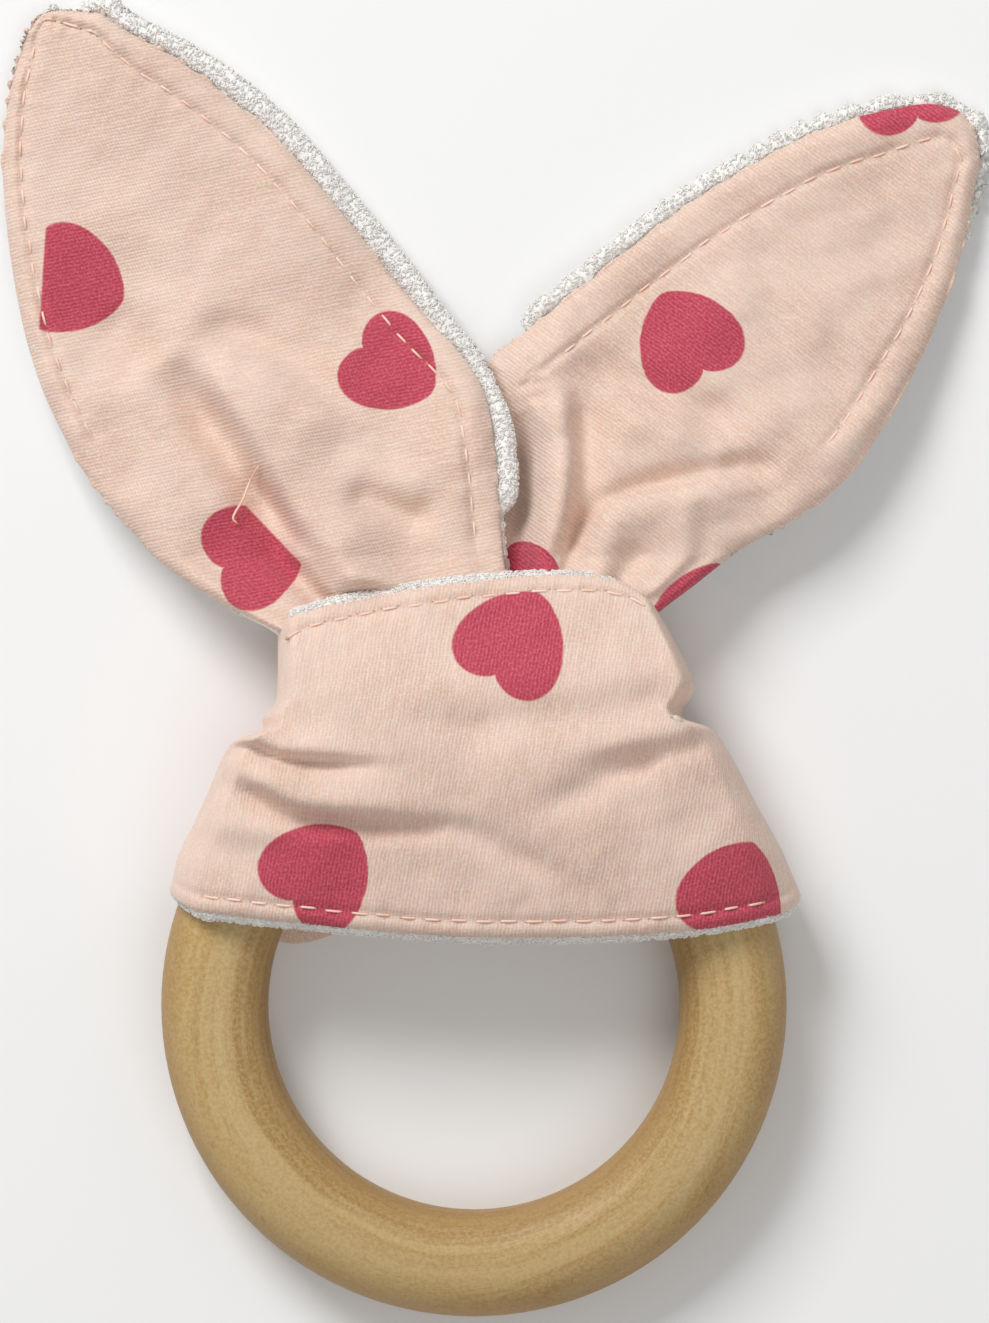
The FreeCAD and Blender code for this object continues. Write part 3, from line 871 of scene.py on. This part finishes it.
def cotton_material(name, hearts, limits=()):
    """Peach cotton with fine ribs and printed hearts."""
    props = settings()
    material, shader, maker = new_material(name)
    printed = maker.add("ShaderNodeUVMap", {"uv_map": "print"})
    weave = maker.add("ShaderNodeUVMap", {"uv_map": "weave"})
    x, y, _ = split(printed)
    across, along_rib, _ = split(weave)
    wander = maker.noise(printed, 0.35, 2.0) * 0.5
    rib = (((across + wander) * (2 * math.pi / 0.40)).sin() + 1.0) * 0.5
    thread = ((along_rib * (2 * math.pi / 0.34) + across * 5.0).sin() + 1.0) * 0.5
    slub = maker.noise(maker.vector(across * 2.2, along_rib * 0.35, 0.0), 1.0, 3.0)
    mottle = maker.noise(printed, 0.09, 3.0)
    speck = maker.noise(printed, 3.2, 2.0)
    inside = None
    for item in hearts:
        one = heart(x + (maker.noise(printed, 1.1, 2.0) - 0.5) * 0.25, y, *item)
        for limit in limits:
            if limit["heart"] == item:
                one = one * (x * limit["x"] + y * limit["y"]).step(limit["from"] - 0.15, limit["from"] + 0.15)
        inside = one if inside is None else inside.math("MAXIMUM", inside, one)
    ground = mottle.step(0.3, 0.7).colours(tuple(props.peach_deep), tuple(props.peach))
    pale = rib * 0.30 + slub.step(0.35, 0.7) * 0.25 + speck.step(0.42, 0.66) * 0.35
    ground = pale.colours(ground, linear(244, 220, 206))
    pink = (rib * 0.30 + speck.step(0.4, 0.68) * 0.45).colours(tuple(props.pink), linear(218, 112, 128))
    relief = bump(maker, rib * 0.6 + thread * 0.25 + speck * 0.5, 0.00008, 0.7)
    feed(shader, Base_Color=inside.colours(ground, pink), Normal=relief, Roughness=0.86,
         Subsurface_Weight=0.35, Subsurface_Radius=(1.0, 0.5, 0.3), Subsurface_Scale=0.0012,
         Sheen_Weight=0.12, Sheen_Roughness=0.6, Specular_IOR_Level=0.2)
    return material


def terry_material():
    material, shader, maker = new_material("terry")
    plan = maker.add("ShaderNodeUVMap", {"uv_map": "print"})
    lump = maker.noise(plan, 1.9, 3.0, 0.6)
    patchy = maker.noise(plan, 0.2, 2.0)
    # Partly painted shade: the towelling is greyer where the bump is low, in the hollows between the loops,
    # and it also varies in random paler and greyer patches.
    share = patchy.step(0.35, 0.7) * 0.5 + lump.step(0.3, 0.6) * 0.5
    shade = share.colours(linear(234, 231, 227), tuple(settings().white))
    # Painted light: a faint white glow on the towelling lifts the shade between its loops.
    feed(shader, Base_Color=shade, Normal=bump(maker, lump, 0.0006, 0.8), Roughness=0.95,
         Emission_Color=linear(240, 238, 234), Emission_Strength=0.05, Sheen_Weight=0.1,
         Specular_IOR_Level=0.1)
    return material


def thread_material():
    material, shader, maker = new_material("thread")
    plan = maker.add("ShaderNodeUVMap", {"uv_map": "print"})
    tint = maker.noise(plan, 0.12, 2.0).step(0.4, 0.65)
    feed(shader, Base_Color=tint.colours(linear(242, 204, 184), linear(248, 220, 206)), Roughness=0.6)
    return material


def plain_material(name, colour, roughness):
    material, shader, _ = new_material(name)
    feed(shader, Base_Color=colour, Roughness=roughness)
    return material


def wood_material():
    """Turned pale wood: fine layers across the section that read as streaks round the ring."""
    props = settings()
    material, shader, maker = new_material("wood")
    place = maker.add("ShaderNodeTexCoord", None, None, 3)
    px, py, pz = split(place)
    x = px * (1 / MM) - RING_X
    y = py * (1 / MM) - RING_Y
    z = pz * (1 / MM) - RING_Z - y * math.tan(RING_TILT)
    radius = (x * x + y * y) ** 0.5
    angle = maker.math("ARCTAN2", y, x)
    arm_x = angle.math("COSINE", angle)
    arm_y = angle.sin()
    sway = maker.noise(maker.vector(arm_x, arm_y, 0.0), 1.3, 2.0)
    layer = z * 0.8 + radius * 0.9 + x * 0.05 + y * 0.04 + (sway - 0.5) * 2.5

    def grain(across, round_ring, detail, rough):
        place = maker.vector(layer * across, arm_x * round_ring, arm_y * round_ring)
        return maker.noise(place, 1.0, detail, rough)

    broad = grain(0.36, 0.45, 2.0, 0.5)
    streak = grain(1.1, 0.8, 3.0, 0.55)
    fibre = grain(6.0, 3.0, 3.0, 0.6)
    pore = maker.noise(maker.vector(layer * 9.0, arm_x * 14.0, arm_y * 14.0 + radius), 1.0, 1.0, 0.5)
    grit = maker.noise(maker.vector(x * 2.4, y * 2.4, z * 2.4), 1.0, 3.0, 0.7)
    # Painted shade: the wood turns darker towards the inner and outer edges of the tube's section, where its
    # rounded surface turns away from the light.
    painted_edge_shade = (radius - RING_MEAN_R) * (radius - RING_MEAN_R) / 36.0
    base = broad.step(0.34, 0.66).colours(tuple(props.wood_deep), tuple(props.wood_pale))
    for value, low, high, share, tint in (
            (streak, 0.42, 0.62, 0.40, (198, 175, 128)), (streak, 0.52, 0.36, 0.32, (156, 114, 60)),
            (fibre, 0.45, 0.70, 0.17, (160, 116, 62)), (pore, 0.66, 0.74, 0.25, (134, 92, 48)),
            (grit, 0.42, 0.62, 0.30, (220, 198, 150)), (grit, 0.46, 0.30, 0.17, (146, 106, 58)),
            (arm_y * -1.0, 0.2, 1.0, 0.14, (150, 112, 62)), (painted_edge_shade, 0.12, 1.0, 0.5, (152, 108, 56))):
        base = (value.step(low, high) * share).colours(base, linear(*tint))
    feed(shader, Base_Color=base, Roughness=streak * 0.12 + 0.42,
         Normal=bump(maker, fibre * 0.7 + pore, 0.00005, 0.5), Specular_IOR_Level=0.35)
    return material


# ---------------------------------------------------------------- settings and operators

class TeetherSettings(bpy.types.PropertyGroup):
    """Sizes, colours and lights that can be changed before the pieces are built."""
    seed: IntProperty(name="Seed", description="Seed of the small folds, stitches and loops", default=7,
                      min=0)
    cotton: length("Cotton", "Thickness of the cotton", 0.45)
    pile_depth: length("Towelling", "Thickness of the towelling", 2.0)
    band_rim_low: length("Lower rim", "Outline to the cotton's edge at the band's foot", 1.3)
    band_rim_high: length("Upper rim", "Outline to the cotton's edge at the band's top", 1.0)
    band_seam: length("Band seam", "Cotton's edge to the stitch line on the band", 1.7)
    stitch_pitch: length("Stitch pitch", "From stitch to stitch", 2.8)
    stitch_length: length("Stitch length", "Thread shown in each stitch", 2.0)
    thread_radius: length("Thread radius", "Radius of the sewing thread", 0.14)
    loop_radius: length("Loop radius", "Radius of a towelling loop", 0.21)
    loop_thread: length("Loop yarn", "Radius of the loop's yarn", 0.08)
    loop_density: FloatProperty(name="Loop density", description="Towelling loops per square mm",
                                default=9.0, min=0.0)
    peach: colour("Cotton colour", "Ground of the printed cotton", (226, 195, 179))
    peach_deep: colour("Cotton, deeper", "Deeper patches of the ground", (212, 178, 160))
    pink: colour("Heart colour", "Printed hearts", (178, 56, 76))
    white: colour("Towelling colour", "Loops and back of the towelling", (246, 244, 240))
    wood_pale: colour("Pale wood", "Pale layers of the ring", (194, 164, 108))
    wood_deep: colour("Deep wood", "Deep layers of the ring", (174, 140, 86))
    camera_height: length("Camera height", "Camera above the table", 1000.0)
    frame_height: length("Frame height", "Height of the view on the table", 149.2)
    key_power: FloatProperty(name="Key light", description="Power of the large light", default=7.9, min=0.0,
                             unit="POWER")
    world_light: FloatProperty(name="Surroundings", description="Strength of the surroundings", default=0.34,
                               min=0.0, subtype="UNSIGNED")


class TEETHER_OT_wood(bpy.types.Operator):
    """Gives the ring its turned wood"""
    bl_idname = "teether.wood"
    bl_label = "Wooden ring"

    def execute(self, context):
        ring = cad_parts["wooden_ring"]
        ring.data.materials.clear()
        ring.data.materials.append(wood_material())
        ring.data.polygons.foreach_set("use_smooth", np.ones(len(ring.data.polygons), bool))
        return {"FINISHED"}


class TEETHER_OT_band(bpy.types.Operator):
    """Builds the cotton and the towelling of the band and its back"""
    bl_idname = "teether.band"
    bl_label = "Band"

    def execute(self, context):
        props = settings()
        material = cotton_material("cotton_band", BAND_HEARTS)
        grid, uv, _ = band_grid(mm("band_rim_low"), mm("band_rim_high"), FLANK, 96, True)
        grid = keep_above(clear_ring(grid, COTTON_GAPS[0]), TABLE)
        under = keep_above(clear_ring(grid - normals(grid) * mm("cotton"), COTTON_GAPS[1]), TABLE)
        points, faces, source = shell(grid, under, 0.9, 4)
        flat = uv.reshape(-1, 2)[source]
        maps = {"print": flat, "weave": turned(flat, 80.0, (0, 28))}
        piece = make_piece("band_cloth", points, faces, maps, [material])
        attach(piece, "hitch")
        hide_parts("band_cotton", "left_wrap", "right_wrap")
        grid, uv, front = band_grid(*LINING_INSETS, FLANK, 104, False)
        grid = keep_above(clear_ring(grid, LINING_GAPS[0]), LINING_TABLE)
        under = clear_ring(grid - normals(grid) * mm("pile_depth"), LINING_GAPS[1])
        under = keep_above(under, LINING_TABLE)
        points, faces, source = shell(grid, under, 1.0, 7)
        flat = uv.reshape(-1, 2)[source]
        rows, columns = grid.shape[:2]
        row = (source // columns)[faces]
        column = (source % columns)[faces].mean(1)
        row_step = np.linalg.norm(grid[-1, FRONT_COLUMN] - grid[0, FRONT_COLUMN]) / rows
        edge_gap = (np.minimum(row, rows - 1 - row) * row_step).mean(1)
        wall, upper = sides_of(faces, rows * columns)
        on_front = (column > front[0] - LOOP_COLUMNS) & (column < front[1] + LOOP_COLUMNS)
        shown = ((edge_gap < LOOP_BORDER) | wall) & upper & on_front
        piece = towelling("band_lining", points, faces, flat, shown, props.seed + 5)
        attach(piece, "hitch")
        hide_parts("band_terry")
        return {"FINISHED"}


class TEETHER_OT_ears(bpy.types.Operator):
    """Builds the cotton and the towelling of both ears and of their strip ends"""
    bl_idname = "teether.ears"
    bl_label = "Ears"

    def execute(self, context):
        props = settings()
        cuts = [{"heart": LEFT_HEARTS[0], "x": 1.0, "y": -0.06, "from": -48.4 - 0.06 * 82},
                {"heart": LEFT_HEARTS[2], "x": -0.721, "y": -0.692, "from": -20.3}]
        materials = {
            "left_ear": cotton_material("cotton_left", LEFT_HEARTS, cuts),
            "right_ear": cotton_material("cotton_right", RIGHT_HEARTS),
        }
        for ear in EARS:
            name = ear["name"]
            grid = ear_grid(ear, "cotton", 118, 128, True)
            grid = keep_above(grid, TABLE + 0.5)
            under = keep_above(grid - normals(grid) * mm("cotton"), TABLE)
            points, faces, source = shell(grid, under, 0.9, 4)
            flat = grid[..., :2].reshape(-1, 2)[source]
            maps = {"print": flat, "weave": turned(flat, ear["ribs"], ear["centre"])}
            piece = make_piece(name + "_cloth", points, faces, maps, [materials[name]])
            self.attach(piece, name)
            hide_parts(name + "_cotton")
            grid = ear_grid(ear, "terry", 104, 118, False)
            grid = keep_above(grid, TABLE + 0.6)
            under = grid - normals(grid) * mm("pile_depth")
            level = np.minimum(ear_base(ear, under[..., :2]) - 2.9, grid[..., 2] - 0.4)
            body = grid[..., 1] > 52
            under[..., 2] = np.where(body, np.maximum(under[..., 2], level), under[..., 2])
            under = np.where((grid[..., 1] < 47)[..., None], clear_ring(under, STRIP_GAP), under)
            under = keep_above(under, TABLE)
            points, faces, source = shell(grid, under, 0.95, 7)
            flat = grid[..., :2].reshape(-1, 2)[source]
            middle = points[faces].mean(1)
            distance, _ = nearest(middle[:, :2], ear["lines"]["cotton"])
            wall, upper = sides_of(faces, grid.shape[0] * grid.shape[1])
            shown = ((distance > -0.1) | wall) & upper & (middle[:, 1] > BEND_Y[0])
            seed = props.seed + (15 if ear is LEFT else 25)
            piece = towelling(name + "_lining", points, faces, flat, shown, seed)
            self.attach(piece, name)
            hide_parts(name + "_terry", name.replace("ear", "tail"))
        return {"FINISHED"}

    @staticmethod
    def attach(piece, ear):
        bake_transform(piece)


class TEETHER_OT_stitches(bpy.types.Operator):
    """Sews the visible rows of stitches"""
    bl_idname = "teether.stitches"
    bl_label = "Stitches"

    def execute(self, context):
        materials = [bpy.data.materials["thread"], plain_material("needle_hole_shade", linear(205, 160, 138), 0.9)]
        full = band_plan()
        a = np.linspace(0.035, 0.965, 200)
        tall = np.interp(a, np.linspace(0, 1, full.shape[1]), np.linalg.norm(full[-1] - full[0], axis=1))
        rows = []
        for b in ((mm("band_rim_low") + mm("band_seam")) / tall,
                  1 - (mm("band_rim_high") + mm("band_seam")) / tall):
            plan = sample(full, b, a)
            inner = np.full(len(plan), mm("band_seam"))
            height = band_base(plan) + band_hem(inner, np.full(len(plan), 20.0), plan)
            rows.append((np.concatenate([plan, height[:, None]], 1), [(0.02, 0.985)]))
        piece = self.sew("band_threads", rows, materials)
        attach(piece, "hitch")
        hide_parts("band_stitching")
        for ear in EARS:
            plan = ear["lines"]["seam"]
            height = ear_base(ear, plan) + ear_hem(ear, plan)
            line = np.concatenate([plan, height[:, None]], 1)
            extra = []
            if ear is LEFT:
                plan = spline([(-26.4, 53.9), (-26.9, 54.6), (-25.9, 56.5), (-25.2, 58.4), (-24.1, 60.3)], 22)
                lift = 0.35 + 1.1 * np.sin(np.linspace(0.15, 2.9, 22))
                loose = np.concatenate([plan, (ear_base(ear, plan) + lift)[:, None]], 1)
                points, faces, caps = tube_along(loose, 0.13, 6)
                extra.append((points, faces + caps))
            piece = self.sew(ear["name"] + "_threads", [(line, ear["rows"])], materials, extra)
            TEETHER_OT_ears.attach(piece, ear["name"])
            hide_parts(ear["name"] + "_stitching")
        return {"FINISHED"}

    @staticmethod
    def sew(name, rows, materials, extra=()):
        threads, hole_shade_discs = list(extra), []
        for line, spans in rows:
            more, shade_dots = stitches(line, spans)
            threads += more
            hole_shade_discs += shade_dots
        points, faces = join(threads + hole_shade_discs)
        # Faces after the threads are the discs of painted shade at each needle hole, with the second
        # material.
        count = sum(len(quads) for _, quads in threads)
        index = [0] * count + [1] * (len(faces) - count)
        return make_piece(name, points, faces, {"print": points[:, :2]}, materials, index)


class TEETHER_OT_stage(bpy.types.Operator):
    """Sets the pale floor, the soft lights and the camera"""
    bl_idname = "teether.stage"
    bl_label = "Stage"

    def execute(self, context):
        props = settings()
        scene = context.scene
        bpy.ops.mesh.primitive_plane_add(size=6.0, location=(0, 0, 0))
        floor = context.object
        floor.name = "floor"
        floor.data.materials.append(plain_material("floor", (0.90, 0.90, 0.90, 1.0), 0.9))
        world = bpy.data.worlds.new("surroundings")
        world.use_nodes = True
        world.node_tree.nodes["Background"].inputs["Color"].default_value = (1.0, 0.99, 0.975, 1.0)
        world.node_tree.nodes["Background"].inputs["Strength"].default_value = props.world_light
        scene.world = world
        for name, place, size, share in (("key", (-0.40, 0.66, 0.70), 0.45, 1.04),
                                         ("fill", (0.3, -0.5, 1.2), 0.9, 0.42)):
            light = bpy.data.lights.new(name, "AREA")
            light.energy = props.key_power * share
            light.size = size
            lamp = bpy.data.objects.new(name, light)
            lamp.location = place
            lamp.rotation_euler = (-lamp.location).to_track_quat("-Z", "Y").to_euler()
            scene.collection.objects.link(lamp)
        camera = bpy.data.objects.new("camera", bpy.data.cameras.new("camera"))
        camera.location = (-0.00005, -0.0005, props.camera_height)
        camera.data.sensor_width = 36.0
        camera.data.lens = 36.0 * props.camera_height / props.frame_height
        camera.data.clip_end = 20.0
        camera.data.dof.use_dof = False
        scene.collection.objects.link(camera)
        scene.camera = camera
        scene.view_settings.view_transform = "Standard"
        return {"FINISHED"}


class TEETHER_PT_panel(bpy.types.Panel):
    bl_idname = "TEETHER_PT_panel"
    bl_label = "Teething ring"
    bl_space_type = "VIEW_3D"
    bl_region_type = "UI"
    bl_category = "Teether"

    def draw(self, context):
        props = context.scene.teether
        for name in props.bl_rna.properties.keys():
            if name not in ("rna_type", "name"):
                self.layout.prop(props, name)
        for operator in OPERATORS:
            self.layout.operator(operator.bl_idname)


OPERATORS = (TEETHER_OT_wood, TEETHER_OT_band, TEETHER_OT_ears, TEETHER_OT_stitches, TEETHER_OT_stage)
CLASSES = (TeetherSettings,) + OPERATORS + (TEETHER_PT_panel,)


def register():
    for cls in CLASSES:
        bpy.utils.register_class(cls)
    bpy.types.Scene.teether = PointerProperty(type=TeetherSettings)


def unregister():
    del bpy.types.Scene.teether
    for cls in reversed(CLASSES):
        bpy.utils.unregister_class(cls)


def main():
    register()
    for ear in EARS:
        ear["lines"] = build_ear(ear)
    terry_material()
    thread_material()
    bpy.ops.teether.wood()
    bpy.ops.teether.band()
    bpy.ops.teether.ears()
    bpy.ops.teether.stitches()
    bpy.ops.teether.stage()


if __name__ == "__main__":
    main()
